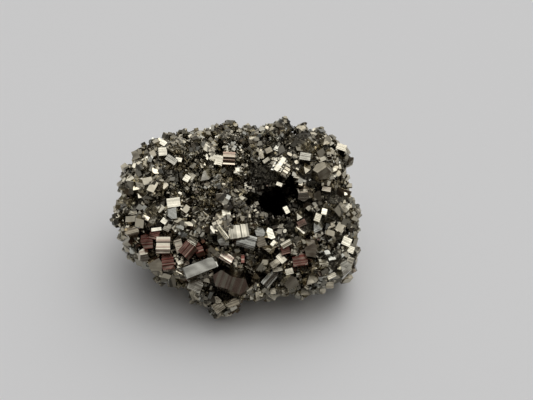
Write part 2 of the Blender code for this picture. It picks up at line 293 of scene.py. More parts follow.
def pyritohedronForm():
    piece = addCube()
    corners = [corner.co * 2 * forms["cubeCorner"] for corner in piece.data.vertices]
    for side in (-1, 1):
        for end in (-1, 1):
            out, along = side * forms["ridgeOut"], end * forms["ridgeHalf"]
            corners += [Vector((0, out, along)), Vector((out, along, 0)), Vector((along, 0, out))]
    piece.data.clear_geometry()
    piece.data.from_pydata(corners, [], [])
    editAll(piece)
    bpy.ops.mesh.convex_hull()
    bpy.ops.mesh.dissolve_limited(angle_limit=forms["flatWithin"])
    return piece


def ribbedForm(layers):  # grown in layers along Z whose sides lean in and out and catch different light
    width = forms["ribStart"]
    deselectAll()
    bpy.ops.mesh.primitive_plane_add(size=width, location=(0, 0, -0.5))
    piece = bpy.context.object
    bpy.ops.object.transform_apply(location=True)
    editAll(piece, "FACE")
    for thickness, wanted in layers:
        bpy.ops.mesh.extrude_region_move(TRANSFORM_OT_translate={"value": (0, 0, thickness)})
        bpy.ops.transform.resize(value=(wanted / width, wanted / width, 1), center_override=(0, 0, 0))
        width = wanted
    bpy.ops.mesh.select_all(action="SELECT")
    bpy.ops.mesh.normals_make_consistent(inside=False)
    return piece


def lieAlong(piece, turn):
    deselectAll()
    piece.rotation_euler = turn
    pickOnly(piece)
    bpy.ops.object.transform_apply(rotation=True)


stripesAcross = {0: 2, 1: 0, 2: 1}  # the axis that crosses the stripes, for faces square to each axis


def markStripes(piece, layers=None):  # writes where each face corner lies across the face's stripes
    stripe = piece.data.attributes.new("stripe", "FLOAT", "CORNER")
    for face in piece.data.polygons:
        facing = max(range(3), key=lambda axis: abs(face.normal[axis]))
        axis = layers if layers is not None and facing != layers else stripesAcross[facing]
        for corner in face.loop_indices:
            stripe.data[corner].value = piece.data.vertices[piece.data.loops[corner].vertex_index].co[axis]


formNames = ("plain", "block", "cut", "chipped", "pyritohedron", "ribbedAcross", "ribbedAlong", "stepped",
             "shard", "splinter", "bandedAlong", "bandedBroken", "broken")
# the axis that the layers lie along
layersOf = {"ribbedAcross": 0, "ribbedAlong": 1, "bandedAlong": 1, "bandedBroken": 1}
formNumber = {name: number for number, name in enumerate(formNames)}


def makeForms():
    folder = bpy.data.collections.new("forms")
    bpy.context.scene.collection.children.link(folder)
    makers = {"plain": plainForm, "block": blockForm, "cut": cutForm, "chipped": chippedForm,
              "pyritohedron": pyritohedronForm, "stepped": steppedForm, "shard": shardForm,
              "splinter": splinterForm, "broken": brokenForm}
    for number, name in enumerate(formNames):
        layers = layersOf.get(name)
        if layers is None:
            piece = makers[name]()
        else:
            piece = ribbedForm(forms["bands" if name.startswith("banded") else "ribs"])
            lieAlong(piece, ((0, math.pi / 2, 0), (math.pi / 2, 0, 0))[layers])
        if name == "bandedBroken":
            breakOff(piece, forms["brokenCuts"])
        deselectAll()
        markStripes(piece, layers)
        piece.name = piece.data.name = f"form{number}"
        for old in list(piece.users_collection):
            old.objects.unlink(piece)
        folder.objects.link(piece)
    return folder


formFolder = makeForms()
print("forms modelled:", len(formNames))


# Growing: each crystal is a site, and Geometry Nodes put a form on every site

def node(tree, kind, place=(0, 0), **settings):
    made = tree.nodes.new(kind)
    made.location = place
    for name, value in settings.items():
        setattr(made, name, value)
    return made


# Links an output to an input of this name, or sets a plain value there. i0 is the first input.
def feed(tree, made, **values):
    for name, value in values.items():
        socket = made.inputs[int(name[1:]) if name[1:].isdigit() else name.replace("_", " ")]
        if isinstance(value, bpy.types.NodeSocket):
            tree.links.new(value, socket)
        else:
            socket.default_value = value
    return made


def compute(tree, operation, place, *values, **settings):  # a Math node of these numbers and outputs
    made = node(tree, "ShaderNodeMath", place, operation=operation, **settings)
    return feed(tree, made, **{f"i{i}": value for i, value in enumerate(values)}).outputs[0]


def computeVector(tree, operation, place, *values):  # the same with vectors
    made = node(tree, "ShaderNodeVectorMath", place, operation=operation)
    feed(tree, made, **{f"i{i}": value for i, value in enumerate(values)})
    return made.outputs["Value" if operation == "DOT_PRODUCT" else "Vector"]


def makeGrowTree(folder):
    tree = bpy.data.node_groups.new("growCrystals", "GeometryNodeTree")
    tree.interface.new_socket("Geometry", in_out="INPUT", socket_type="NodeSocketGeometry")
    tree.interface.new_socket("Geometry", in_out="OUTPUT", socket_type="NodeSocketGeometry")

    def read(name, place, kind="FLOAT_VECTOR"):
        made = node(tree, "GeometryNodeInputNamedAttribute", place, data_type=kind)
        return feed(tree, made, Name=name).outputs["Attribute"]

    start = node(tree, "NodeGroupInput", (-400, 0))
    pick = feed(tree, node(tree, "GeometryNodeCollectionInfo", (-200, -200)), Collection=folder,
                Separate_Children=True, Reset_Children=True)
    turn = feed(tree, node(tree, "FunctionNodeEulerToRotation", (0, -500)), i0=read("turn", (-200, -500)))
    grow = feed(tree, node(tree, "GeometryNodeInstanceOnPoints", (200, 0)), Points=start.outputs[0],
                Pick_Instance=True, Instance=pick.outputs[0],
                Instance_Index=read("form", (-200, -350), "INT"),
                Rotation=turn.outputs[0], Scale=read("size", (-200, -700)))
    realize = feed(tree, node(tree, "GeometryNodeRealizeInstances", (400, 0)), i0=grow.outputs[0])
    # the height over each crystal's foot, which the material uses for painted shade at the foot
    place = node(tree, "GeometryNodeInputPosition", (200, -200))
    away = computeVector(tree, "SUBTRACT", (400, -250), place.outputs[0], read("foot", (200, -300)))
    height = computeVector(tree, "DOT_PRODUCT", (600, -250), away, read("outward", (200, -500)))
    keep = node(tree, "GeometryNodeStoreNamedAttribute", (900, 0), data_type="FLOAT", domain="POINT")
    feed(tree, keep, Name="height", Geometry=realize.outputs[0],
         Value=compute(tree, "DIVIDE", (750, -250), height, mm))
    feed(tree, node(tree, "NodeGroupOutput", (1100, 0)), i0=keep.outputs[0])
    return tree


growTree = makeGrowTree(formFolder)


# painted shade: crystals deep in the lump's hollows get a darker colour, and listed spots of the face are
# painted darker or lighter
shadePainting = {
    "from": 1.2,  # mm under the lump's smooth form where the painted shade in its hollows and holes starts, and where it is full
    "to": 6.5,
    # across, up, reach, share: more painted shade, or painted light where the share is negative, on some
    # parts of the face
    "spots": (
        (27, 16.2, 5, 0.2), (30.6, -5, 7, 0.3), (16.5, 23.4, 3.5, 0.5), (-12.6, 1.8, 3.5, 0.3),
        (1.8, 1.8, 3.5, 0.15), (9, -5.4, 3, 0.25), (1.8, -12.6, 3.5, 0.2), (-5.4, -23, 5, 0.4),
        (23.4, -19.8, 4, 0.2), (-19.8, 23.4, 3.5, 0.25), (-27, 9, 5, -0.35), (-5.4, 9, 6, -0.15),
        (9, -12.6, 3.5, -0.2), (-5.4, -12.6, 3.5, -0.2), (9, 24, 4, -0.2), (-3.5, -19, 3.2, 1.5),
        (-0.4, 21.9, 2.2, 0.5), (4, -7.6, 2, 0.8),
    ),
    "onLarge": 0.25,  # the share of the painted shade that the large crystals have
}


# painted shade at a point, from its depth under the lump's smooth form and from the listed spots
def paintedShadeAt(point):
    away = point - lump["middle"]
    sunk = smoothRadius(away.normalized()) - away.length
    share = max((sunk - shadePainting["from"]) / (shadePainting["to"] - shadePainting["from"]), 0)
    right, up, out = viewedPlace(point)
    if out > 0:
        for x, y, reach, more in shadePainting["spots"]:
            share += more * math.exp(-((right - x) ** 2 + (up - y) ** 2) / reach ** 2)
    return min(max(share, 0), 1)


class Crystal:
    def __init__(self, form, middle, turn, size, look, foot, outward):
        self.form = formNumber[form]
        self.middle = middle  # mm
        self.turn = turn  # a quaternion
        self.size = size  # mm
        self.look = look  # tint, tarnish with painted warm reflection, and dullness, 0 to 1
        self.foot = foot  # the spot it grows from, mm
        self.outward = outward
        # how much painted shade darkens its colour, 0 to 1
        self.paintedShade = paintedShadeAt(middle)

    def reach(self):  # how far it goes each way along X, Y and Z at most
        turn = self.turn.to_matrix()
        return Vector(sum(abs(turn[row][i]) * self.size[i] for i in range(3)) * forms["ridgeOut"]
                      for row in range(3))


exactly = 1e-7  # m, how near the floor a corner may be and still be left uncut


def cutAtGround(piece):  # breaks off flat what reaches under the floor
    editAll(piece)
    bpy.ops.mesh.bisect(plane_co=(0, 0, 0), plane_no=(0, 0, 1), clear_inner=True, threshold=exactly)
    bpy.ops.mesh.select_all(action="SELECT")
    bpy.ops.mesh.fill_holes(sides=0)
    deselectAll()


def growCrystals(name, crystals):
    mesh = bpy.data.meshes.new(name)
    mesh.from_pydata([crystal.middle * mm for crystal in crystals], [], [])
    for label, kind in (("turn", "FLOAT_VECTOR"), ("size", "FLOAT_VECTOR"), ("look", "FLOAT_VECTOR"),
                        ("foot", "FLOAT_VECTOR"), ("outward", "FLOAT_VECTOR"), ("form", "INT"),
                        ("paintedShade", "FLOAT"), ("grown", "FLOAT")):
        mesh.attributes.new(label, kind, "POINT")
    for number, crystal in enumerate(crystals):
        mesh.attributes["turn"].data[number].vector = crystal.turn.to_euler()
        mesh.attributes["size"].data[number].vector = Vector(crystal.size) * mm
        mesh.attributes["look"].data[number].vector = crystal.look
        mesh.attributes["foot"].data[number].vector = crystal.foot * mm
        mesh.attributes["outward"].data[number].vector = crystal.outward
        mesh.attributes["form"].data[number].value = crystal.form
        mesh.attributes["paintedShade"].data[number].value = crystal.paintedShade
        mesh.attributes["grown"].data[number].value = sum(crystal.size) / 3
    piece = bpy.data.objects.new(name, mesh)
    bpy.context.scene.collection.objects.link(piece)
    grow = piece.modifiers.new("grow", "NODES")
    grow.node_group = growTree
    applyModifier(piece, grow)
    for label in ("turn", "size", "form", "foot", "outward"):
        piece.data.attributes.remove(piece.data.attributes[label])
    if any(crystal.middle.z < crystal.reach().z for crystal in crystals):
        cutAtGround(piece)
    triangles = sum(len(face.vertices) - 2 for face in piece.data.polygons)
    print(name, len(crystals), "crystals,", triangles, "triangles")
    return piece


# The mass under the crystals

mass = {
    "sunk": 0.5,  # mm under the spots that the small crystals grow from
    "detail": 6,
    "grain": (1.1, 0.25),  # wavelength and height of its own roughness, mm
    "lumps": ((6.5, 1.5), (2.8, 0.9)),  # the same of the lumpy growth, which the small crystals follow
    "lumpPattern": Vector((5, 2, 9)),
    "lift": -0.4,
}


def growthAt(direction):  # how far the lumpy growth stands out of the CAD's mass here, mm
    return mass["lift"] + sum(height * noise.noise(direction * (lump["meanRadius"] / wavelength)
                                                   + mass["lumpPattern"])
                              for wavelength, height in mass["lumps"])


def makeMass():
    deselectAll()
    bpy.ops.mesh.primitive_ico_sphere_add(subdivisions=mass["detail"], radius=1)
    piece = bpy.context.object
    piece.name = piece.data.name = "crystalMass"
    wavelength, height = mass["grain"]
    for corner in piece.data.vertices:
        direction = corner.co.normalized()
        radius = lumpRadius(direction) + growthAt(direction) - mass["sunk"]
        radius += height * noise.noise(direction * (lump["meanRadius"] / wavelength))
        corner.co = (lump["middle"] + direction * radius) * mm
    for at, half, depth in lump["holes"]:
        hole = makeHole(at, half, depth)
        cut = piece.modifiers.new("hole", "BOOLEAN")
        cut.operation = "DIFFERENCE"
        cut.object = hole
        applyModifier(piece, cut)
        bpy.data.objects.remove(hole)
    editAll(piece)
    bpy.ops.mesh.bisect(plane_co=(0, 0, 0), plane_no=(0, 0, 1), use_fill=True, clear_inner=True,
                        threshold=exactly)
    deselectAll()
    return piece


def makeHole(at, half, depth):  # what is cut away for a hole in the face
    deselectAll()
    bpy.ops.mesh.primitive_ico_sphere_add(subdivisions=4, radius=1)
    hole = bpy.context.object
    wide, high = half
    mouth = faceSurface(*at)
    for corner in hole.data.vertices:
        spot = corner.co * (1 + lump["holeRoughness"] * noise.noise(corner.co * lump["holeGrain"]))
        corner.co = (mouth + faceFrame @ Vector((
            spot.x * (wide + mass["sunk"]), spot.y * (high + mass["sunk"]), spot.z * depth))) * mm
    return hole


massPiece = makeMass()
print("mass:", len(massPiece.data.polygons), "faces")


# The large crystals, where the CAD has them

faceCrystals = {
    "proud": 0.7,  # share of the depth that stands out of the mass
    "clear": (0.45, 1.5),  # scattered ones stay away by this share of the width and this many mm
    # form, (across, up), (width, height, depth), (yaw, pitch, spin), (tint, tarnish and painted reflection,
    # dullness)
    "crystals": (
        ("ribbedAcross", (1.4, -4.5), (5.6, 3.8, 4.2), (2, 17, 9), (0.1, 0, 0.05)),
        ("broken", (-2.9, -6.6), (3.4, 3.2, 3.2), (-10, 9, 2), (0.9, 0, 0.3)),
        ("bandedAlong", (4.0, -7.2), (5.4, 3.6, 3.6), (-6, 12, -15), (0.95, 0, 0.15)),
        ("block", (-9.9, -15.0), (9.6, 3.4, 3.8), (0, 16, 22), (0.9, 0, 0.62)),
        ("pyritohedron", (-0.7, -18.9), (5.8, 8.8, 6.0), (-4, 0, 70), (0.65, 0.6, 0.85)),
        ("block", (13.6, 15.6), (5.0, 1.5, 2.8), (6, 20, 56), (0.0, 0, 0.0)),
        ("ribbedAcross", (15.4, 13.6), (3.4, 1.6, 2.4), (2, 15, 56), (0.6, 0, 0.05)),
        ("ribbedAlong", (-1.5, 17.5), (3.5, 3.6, 3.4), (5, 10, -3), (0.5, 0.6, 0.1)),
        ("block", (-18.0, 4.2), (3.9, 2.8, 3.0), (6, 19, 8), (0.05, 0, 0.05)),
        ("chipped", (-17.8, 1.3), (4.0, 3.4, 3.6), (-6, 14, -35), (0.95, 0, 0.1)),
        ("block", (-21.2, 19.4), (2.5, 2.6, 2.6), (4, 19, 5), (0.1, 0, 0.1)),
        ("block", (-18.5, 17.1), (3.5, 1.9, 2.6), (0, 15, -35), (0.8, 0, 0.15)),
        ("bandedAlong", (-20.9, -8.6), (4.0, 4.8, 4.4), (2, 17, 0), (0.2, 0.5, 0.15)),
        ("pyritohedron", (-26.6, -11.2), (3.2, 3.2, 3.2), (0, 12, 10), (0.2, 0.4, 0.1)),
        ("cut", (-19.4, -13.4), (3.4, 4.2, 4.0), (-2, 14, 8), (0.3, 1.0, 0.15)),
        ("broken", (-22.9, -13.7), (4.4, 4.2, 4.0), (-12, 9, 0), (0.62, 0.1, 0.6)),
        ("bandedAlong", (-13.6, -9.8), (4.0, 4.0, 4.2), (2, 11, 50), (0.3, 0.95, 0.15)),
        ("block", (-16.2, -8.6), (2.2, 3.9, 3.2), (-2, 15, 16), (0.35, 0.3, 0.1)),
        ("ribbedAlong", (-12.4, -7.0), (3.1, 2.2, 2.6), (6, 20, -32), (0.05, 0, 0.05)),
        ("bandedBroken", (-10.4, -9.5), (2.8, 4.4, 3.4), (-4, 11, 18), (0.3, 1.0, 0.15)),
        ("bandedBroken", (-30.3, -4.2), (4.3, 2.8, 3.4), (-2, 13, 15), (0.6, 0.2, 0.25)),
        ("broken", (-25.6, -7.2), (3.6, 4.2, 3.8), (-6, 11, 5), (0.3, 1.0, 0.4)),
        ("block", (-23.6, -5.2), (2.8, 2.5, 3.0), (2, 12, -15), (0.3, 1.0, 0.15)),
        ("shard", (-8.6, 12.7), (3.5, 3.6, 3.8), (-4, 13, 12), (0.8, 0, 0.3)),
        ("block", (-2.3, 1.2), (2.4, 2.0, 2.4), (4, 20, 8), (0.1, 0, 0.05)),
        ("shard", (-4.8, 0.7), (2.7, 2.5, 2.6), (-12, 9, 16), (0.6, 0, 0.2)),
        ("chipped", (-5.8, -3.9), (2.5, 2.1, 2.4), (4, 21, -5), (0.05, 0, 0.05)),
        ("broken", (7.9, -4.4), (3.0, 2.5, 2.8), (-6, 15, -12), (0.95, 0, 0.15)),
        ("chipped", (10.9, -5.2), (3.0, 2.8, 2.8), (8, 21, -25), (0.0, 0, 0.0)),
        ("cut", (8.4, -7.2), (2.6, 2.8, 2.8), (-12, 9, 20), (0.62, 0.1, 0.2)),
        ("block", (14.1, -12.3), (2.9, 1.9, 2.4), (4, 19, -50), (0.3, 0, 0.05)),
        ("block", (12.3, -13.7), (2.9, 1.7, 2.4), (0, 16, 35), (0.5, 0, 0.1)),
        ("cut", (19.6, -12.7), (4.2, 3.5, 3.8), (2, 15, 8), (0.2, 1.0, 0.7)),
        ("block", (15.4, -9.8), (2.6, 2.2, 2.7), (0, 13, 15), (0.3, 1.0, 0.15)),
        ("broken", (23.3, -9.0), (3.7, 4.8, 4.6), (-14, 5, -8), (0.62, 0.25, 0.6)),
        ("block", (33.5, -7.4), (2.7, 2.6, 2.8), (4, 20, -25), (0.1, 0, 0.05)),
        ("block", (34.3, -9.6), (3.0, 2.2, 2.8), (4, 19, -22), (0.15, 0, 0.05)),
        ("shard", (32.6, -15.0), (4.6, 4.4, 4.8), (-8, 15, 42), (0.8, 0, 0.3)),
        ("splinter", (20.7, -4.4), (4.8, 2.4, 3.2), (6, 19, -12), (0.1, 0, 0.05)),
        ("shard", (24.4, -2.4), (3.8, 4.0, 4.0), (-4, 14, 25), (0.95, 0, 0.25)),
        ("shard", (19.1, 0.7), (3.0, 2.8, 2.8), (2, 18, 30), (0.25, 0, 0.1)),
        ("shard", (27.4, 23.0), (3.4, 2.8, 3.2), (-2, 15, 20), (0.6, 0, 0.25)),
        ("shard", (21.2, 14.6), (3.2, 2.8, 3.2), (2, 16, 40), (0.5, 0, 0.1)),
        ("pyritohedron", (26.4, 13.6), (4.8, 4.2, 4.2), (-6, 14, 35), (0.6, 0, 0.25)),
        ("block", (21.3, 18.0), (3.2, 2.3, 2.8), (-2, 16, -10), (0.8, 0, 0.1)),
        ("pyritohedron", (20.9, 7.2), (4.0, 3.8, 3.8), (-8, 8, 5), (0.65, 0.3, 0.3)),
        ("bandedAlong", (-2.3, -12.1), (4.1, 2.5, 3.0), (4, 18, -32), (0.1, 0.6, 0.05)),
        ("splinter", (10.5, -9.6), (5.0, 2.6, 3.2), (-2, 14, 0), (0.6, 0, 0.3)),
        ("ribbedAcross", (11.0, -18.2), (2.6, 5.4, 3.2), (-6, 13, -40), (0.9, 0, 0.2)),
        ("shard", (22.7, -18.0), (4.6, 3.6, 4.0), (2, 15, 15), (0.5, 0, 0.6)),
        ("broken", (17.1, -19.0), (4.2, 4.0, 4.2), (-12, 5, 30), (0.7, 0, 0.8)),
        ("block", (-4.5, -26.6), (3.2, 3.0, 3.2), (0, 15, 35), (0.5, 0, 0.2)),
        ("broken", (-0.8, -25.4), (4.3, 2.6, 3.2), (4, 14, 20), (0.6, 0, 0.4)),
        ("cut", (-11.2, -20.2), (4.0, 3.6, 4.0), (0, 14, -25), (0.8, 0, 0.4)),
    ),
    # smaller ones that catch the light, which only this mesh has
    "accents": (
        ("ribbedAcross", (-3.4, -5.0), (1.6, 4.8, 4.8), (6, 20, 35), (0.0, 0, 0.0)),
        ("plain", (14.7, 15.0), (4.0, 0.4, 2.4), (6, 20, 56), (0.0, 0, 0.0)),
        ("block", (-21.1, 22.1), (1.9, 1.6, 2.0), (4, 21, -35), (0.0, 0, 0.0)),
        ("plain", (-16.5, 17.1), (1.8, 1.3, 2.0), (4, 20, -10), (0.1, 0, 0.0)),
        ("block", (-14.1, 11.5), (1.8, 2.0, 2.2), (4, 20, -30), (0.1, 0, 0.0)),
        ("block", (-20.8, -1.2), (1.8, 1.6, 2.0), (4, 20, -35), (0.0, 0, 0.0)),
        ("block", (-19.7, -3.0), (2.0, 2.3, 2.4), (-4, 14, -25), (0.7, 0, 0.1)),
        ("plain", (-11.0, -0.7), (2.4, 1.6, 2.2), (0, 17, 0), (0.3, 0, 0.1)),
        ("plain", (-23.1, -3.8), (2.8, 1.0, 2.6), (4, 21, 8), (0.0, 0, 0.0)),
        ("ribbedAlong", (-15.6, -15.6), (2.3, 2.5, 2.4), (0, 16, -30), (0.5, 0, 0.1)),
        ("plain", (-16.0, -13.5), (1.6, 1.1, 2.0), (4, 21, 20), (0.0, 0, 0.0)),
        ("plain", (-22.8, -18.8), (1.4, 1.2, 1.6), (4, 20, 30), (0.1, 0, 0.0)),
        ("stepped", (-4.4, 16.8), (2.2, 3.0, 2.6), (2, 18, -15), (0.2, 0, 0.1)),
        ("plain", (13.5, 9.8), (1.7, 1.1, 1.8), (4, 20, -20), (0.1, 0, 0.0)),
        ("plain", (15.6, 2.1), (1.3, 2.2, 2.0), (6, 20, 25), (0.1, 0, 0.0)),
        ("plain", (26.9, 1.6), (1.5, 1.9, 2.0), (4, 20, -15), (0.1, 0, 0.0)),
        ("block", (32.0, 20.8), (3.0, 2.0, 2.6), (2, 17, -20), (0.3, 0, 0.1)),
        ("block", (10.4, 20.0), (2.0, 1.6, 2.2), (0, 12, 25), (0.6, 0, 0.1)),
        ("chipped", (8.3, 18.5), (2.3, 2.0, 2.4), (-2, 15, -30), (0.5, 0, 0.2)),
        ("plain", (9.6, 17.0), (2.0, 1.0, 2.0), (2, 13, 35), (0.2, 0, 0.0)),
        ("block", (27.6, 8.4), (2.6, 1.4, 2.2), (0, 15, -10), (0.3, 0.3, 0.1)),
        ("block", (24.9, -0.3), (1.8, 2.4, 3.4), (2, 18, -20), (0.3, 0, 0.1)),
        ("plain", (11.7, -7.8), (1.0, 1.7, 2.0), (4, 20, -40), (0.1, 0, 0.0)),
        ("plain", (13.0, -15.5), (2.7, 1.2, 2.0), (0, 17, 10), (0.3, 0, 0.1)),
        ("ribbedAlong", (15.6, -8.0), (3.1, 1.5, 2.4), (2, 18, 30), (0.3, 0, 0.1)),
        ("block", (20.2, -1.7), (2.5, 1.7, 2.4), (0, 12, 25), (0.3, 0.9, 0.1)),
        ("block", (34.6, -13.2), (2.0, 2.5, 2.4), (-2, 15, -20), (0.7, 0, 0.1)),
        ("plain", (11.7, -22.0), (1.6, 1.6, 1.8), (0, 17, 10), (0.4, 0, 0.1)),
        ("plain", (14.7, -22.1), (2.0, 1.4, 1.8), (2, 17, -15), (0.4, 0, 0.1)),
        ("block", (29.0, -17.1), (3.0, 2.2, 2.6), (2, 17, 25), (0.3, 0, 0.1)),
        ("plain", (16.5, -16.2), (2.2, 1.6, 2.2), (2, 17, 15), (0.3, 0, 0.1)),
        ("plain", (2.7, -12.5), (0.9, 2.4, 2.4), (0, 22, 0), (0.0, 1.0, 0.7)),
        ("chipped", (-4.6, -24.6), (1.8, 2.0, 2.2), (0, 16, 10), (0.5, 0, 0.1)),
        ("block", (28.6, -20.2), (2.2, 1.8, 2.2), (2, 16, 0), (0.5, 0, 0.1)),
        ("block", (3.0, -22.6), (2.4, 1.8, 2.2), (2, 15, -20), (0.6, 0, 0.2)),
        ("plain", (7.2, -20.6), (1.6, 2.0, 2.0), (2, 16, 25), (0.4, 0, 0.1)),
    ),
}


def faceCrystalList(rows):
    crystals = []
    for form, spot, size, (yaw, pitch, spin), look in rows:
        turn = Euler((-math.radians(pitch), math.radians(yaw), 0), "XYZ").to_matrix()
        turn = faceFrame @ turn @ Matrix.Rotation(math.radians(spin), 3, "Z")
        foot = faceSurface(*spot)
        middle = foot + outOfFace * ((faceCrystals["proud"] - 0.5) * size[2])
        crystal = Crystal(form, middle, turn.to_quaternion(), size, look, foot, outOfFace)
        crystal.paintedShade *= shadePainting["onLarge"]
        crystals.append(crystal)
    return crystals


# The middle-sized crystals, scattered over the lump as the CAD scatters them

scattered = {
    "sites": 340,
    "stray": 0.05,
    "edge": (1.9, 4.3),
    "smallBias": 1.6,
    "stretch": (0.75, 1.3),
    "out": (-0.2, 0.1),
    "seed": 11,
    "lowestMiddle": 0.5,
    "vugClear": 1.7,
    "forms": ("block", "shard", "cut", "chipped", "block", "bandedAlong"),
    "tarnishedAndReflecting": 0.006,  # the share of all the unplaced crystals that are tarnished, a brown-red that also paints a warm reflection, and how much
    "tarnishAndReflection": (0.3, 1),
    "fine": ((-5, 12), (15, 11), 0.55),  # where the face is fine grained, and the share of their length kept
}


def isFine(point):
    right, up, out = viewedPlace(point)
    (x, y), (wide, high), _ = scattered["fine"]
    return out > 0 and math.hypot((right - x) / wide, (up - y) / high) < 1


def isTaken(point):
    right, up, out = viewedPlace(point)
    if out < 0:
        return False
    (vugRight, vugUp), (wide, high), _ = lump["holes"][0]
    if math.hypot((right - vugRight) / wide, (up - vugUp) / high) < scattered["vugClear"]:
        return True
    share, more = faceCrystals["clear"]
    return any(math.hypot(right - x, up - y) < share * max(width, height) + more
               for _, (x, y), (width, height, _), _, _ in faceCrystals["crystals"])


def scatteredList():
    chance = random.Random(scattered["seed"])
    own = random.Random(scattered["seed"] + 1)  # what the CAD doesn't draw comes from here
    goldenTurn = math.pi * (3 - math.sqrt(5))
    low, high = scattered["edge"]
    stray = scattered["stray"]
    crystals = []
    for number in range(scattered["sites"]):
        rise = 1 - 2 * (number + 0.5) / scattered["sites"]
        level = math.sqrt(1 - rise * rise)
        turn = number * goldenTurn
        site = Vector((level * math.cos(turn), level * math.sin(turn), rise))
        direction = (site + Vector([chance.uniform(-stray, stray) for _ in range(3)])).normalized()
        foot = lump["middle"] + direction * lumpRadius(direction)
        edge = low + (high - low) * chance.random() ** scattered["smallBias"]
        if isFine(foot):
            edge *= scattered["fine"][2]
        size = [edge * chance.uniform(*scattered["stretch"]) for _ in range(3)]
        turned = Euler([chance.uniform(0, math.tau) for _ in range(3)]).to_quaternion()
        outward = lumpNormal(direction)
        middle = foot + outward * edge * chance.uniform(*scattered["out"])
        if middle.z > scattered["lowestMiddle"] and not isTaken(middle):
            form = own.choice(scattered["forms"])
            crystals.append(Crystal(form, middle, turned, size, randomLook(own), foot, outward))
    return crystals


def randomLook(chance):
    # tarnish here is partly painted warm reflection
    tarnishAndReflection = chance.uniform(*scattered["tarnishAndReflection"]) if chance.random() < scattered["tarnishedAndReflecting"] else 0
    return (chance.random(), tarnishAndReflection, chance.random())


largeCrystals = faceCrystalList(faceCrystals["crystals"])
accentCrystals = faceCrystalList(faceCrystals["accents"])
middleCrystals = scatteredList()


# The small crystals that cover everything between and on the larger ones

small = {
    "seed": 5,
    # across, up, reach, edge length: how coarse the crystals are in each part of the face
    "grain": (
        (-5, 12, 12, 0.95), (-18, 18, 8, 1.2), (-29, 5, 9, 1.8), (4, 28, 9, 1.2), (26, 16, 9, 1.6),
        (24, 2, 8, 1.3), (26, -12, 9, 2.0), (-22, -8, 9, 2.1), (-6, -11, 8, 2.1), (10, -12, 8, 1.9),
        (-2, -24, 7, 1.5), (20, -20, 7, 1.5), (12, 5, 7, 0.9), (-34, -4, 6, 1.6), (-12, 2, 7, 1.3),
    ),
    "backGrain": 1.9,
    "backWeight": 0.02,  # how little the back's grain counts on the face
    "backFrom": -4,  # mm out of the middle, where the face's grain starts
    "stretch": (0.55, 1.35),
    "underneath": 0.3,  # mm up to which the flat underside stays bare, and how far down it faces
    "facesDown": -0.9,
    # crystals near each other mostly grew alike
    "familyTries": 9000,
    "familySpacing": 2.4,  # of the edge length
    "alike": 0.7,
    "sway": math.radians(5),
    "familySize": (0.75, 1.3),
    "familyOut": (-0.5, 0.25),  # mm
    # the blocks come first, and the fines fill what is left between them; edge and spacing are shares
    # of the grain and of the edge, out is in edge lengths, and some get more painted shade, as if lying in
    # shade between the others: what share, and how much
    "layers": (
        {"tries": 60000, "edge": (0.75, 1.45), "spacing": 0.6, "out": (-0.3, 0.25), "shadePainted": (0.15, 0.4),
         "forms": ("plain", "plain", "plain", "block", "block", "cut", "chipped", "stepped", "shard",
                   "splinter")},
        {"tries": 220000, "edge": (0.25, 0.6), "spacing": 0.75, "out": (-0.3, 0.3), "shadePainted": (0.45, 0.45),
         "forms": ("plain", "plain", "shard", "splinter")},
    ),
    "beside": (0.2, 0.7),  # how near a large crystal they may grow: mm over it, and half widths per edge
    "bareFrom": 1.1,  # the grain, mm, from which the scattered crystals stay bare, and more so up to bareTo
    "bareTo": 2.0,
    "bareShare": 0.85,
    "growthFade": 0.5,  # mm out of the mass at which its lumpy growth no longer lifts a crystal's foot
    "ownRoom": 0.45,  # of the edge length, which no other middle may enter
    "nearest": 4,  # how many of the larger crystals near a spot are looked at
    "margin": 0.12,  # mm around a larger crystal where no small one grows
}


def grainAt(point):
    right, up, out = viewedPlace(point)
    total, weights = small["backGrain"] * small["backWeight"], small["backWeight"]
    if out > small["backFrom"]:
        for x, y, reach, edge in small["grain"]:
            weight = math.exp(-((right - x) ** 2 + (up - y) ** 2) / reach ** 2)
            total += weight * edge
            weights += weight
    return total / weights


def surfaceSpots(solid, count, chance):  # spots on the solid, closer where the crystals are finer
    mesh = solid.data
    mesh.calc_loop_triangles()
    triangles = [triangle for triangle in mesh.loop_triangles if triangle.area > 0]
    weights = []
    for triangle in triangles:
        middle = sum((mesh.vertices[i].co for i in triangle.vertices), Vector()) / 3
        weights.append(triangle.area / grainAt(middle / mm) ** 2)
    for triangle in chance.choices(triangles, weights=weights, k=count):
        a, b, c = (mesh.vertices[i].co for i in triangle.vertices)
        u, v = chance.random(), chance.random()
        if u + v > 1:
            u, v = 1 - u, 1 - v
        yield (a + (b - a) * u + (c - a) * v) / mm, triangle.normal.copy()


class Room:  # keeps spots apart
    cellSize = 2.5

    def __init__(self):
        self.cells = {}

    def isFree(self, point, spacing):
        cell = [int(point[i] // self.cellSize) for i in range(3)]
        around = ((cell[0] + i, cell[1] + j, cell[2] + k) for i in (-1, 0, 1) for j in (-1, 0, 1)
                  for k in (-1, 0, 1))
        return not any((point - other).length < max(spacing, taken) for near in around
                       for other, taken in self.cells.get(near, ()))

    def take(self, point, taken=0):  # no other may come nearer than what is taken
        cell = tuple(int(point[i] // self.cellSize) for i in range(3))
        self.cells.setdefault(cell, []).append((point, taken))


def randomTurn(chance):
    return Euler([chance.uniform(0, math.tau) for _ in range(3)]).to_quaternion()


def familyList(solid, chance):  # middle, turn, look, size and height of each family of like crystals
    families = []
    room = Room()
    for point, _ in surfaceSpots(solid, small["familyTries"], chance):
        if room.isFree(point, min(grainAt(point) * small["familySpacing"], Room.cellSize)):
            room.take(point)
            families.append((point, randomTurn(chance), randomLook(chance),
                             chance.uniform(*small["familySize"]), chance.uniform(*small["familyOut"])))
    return families


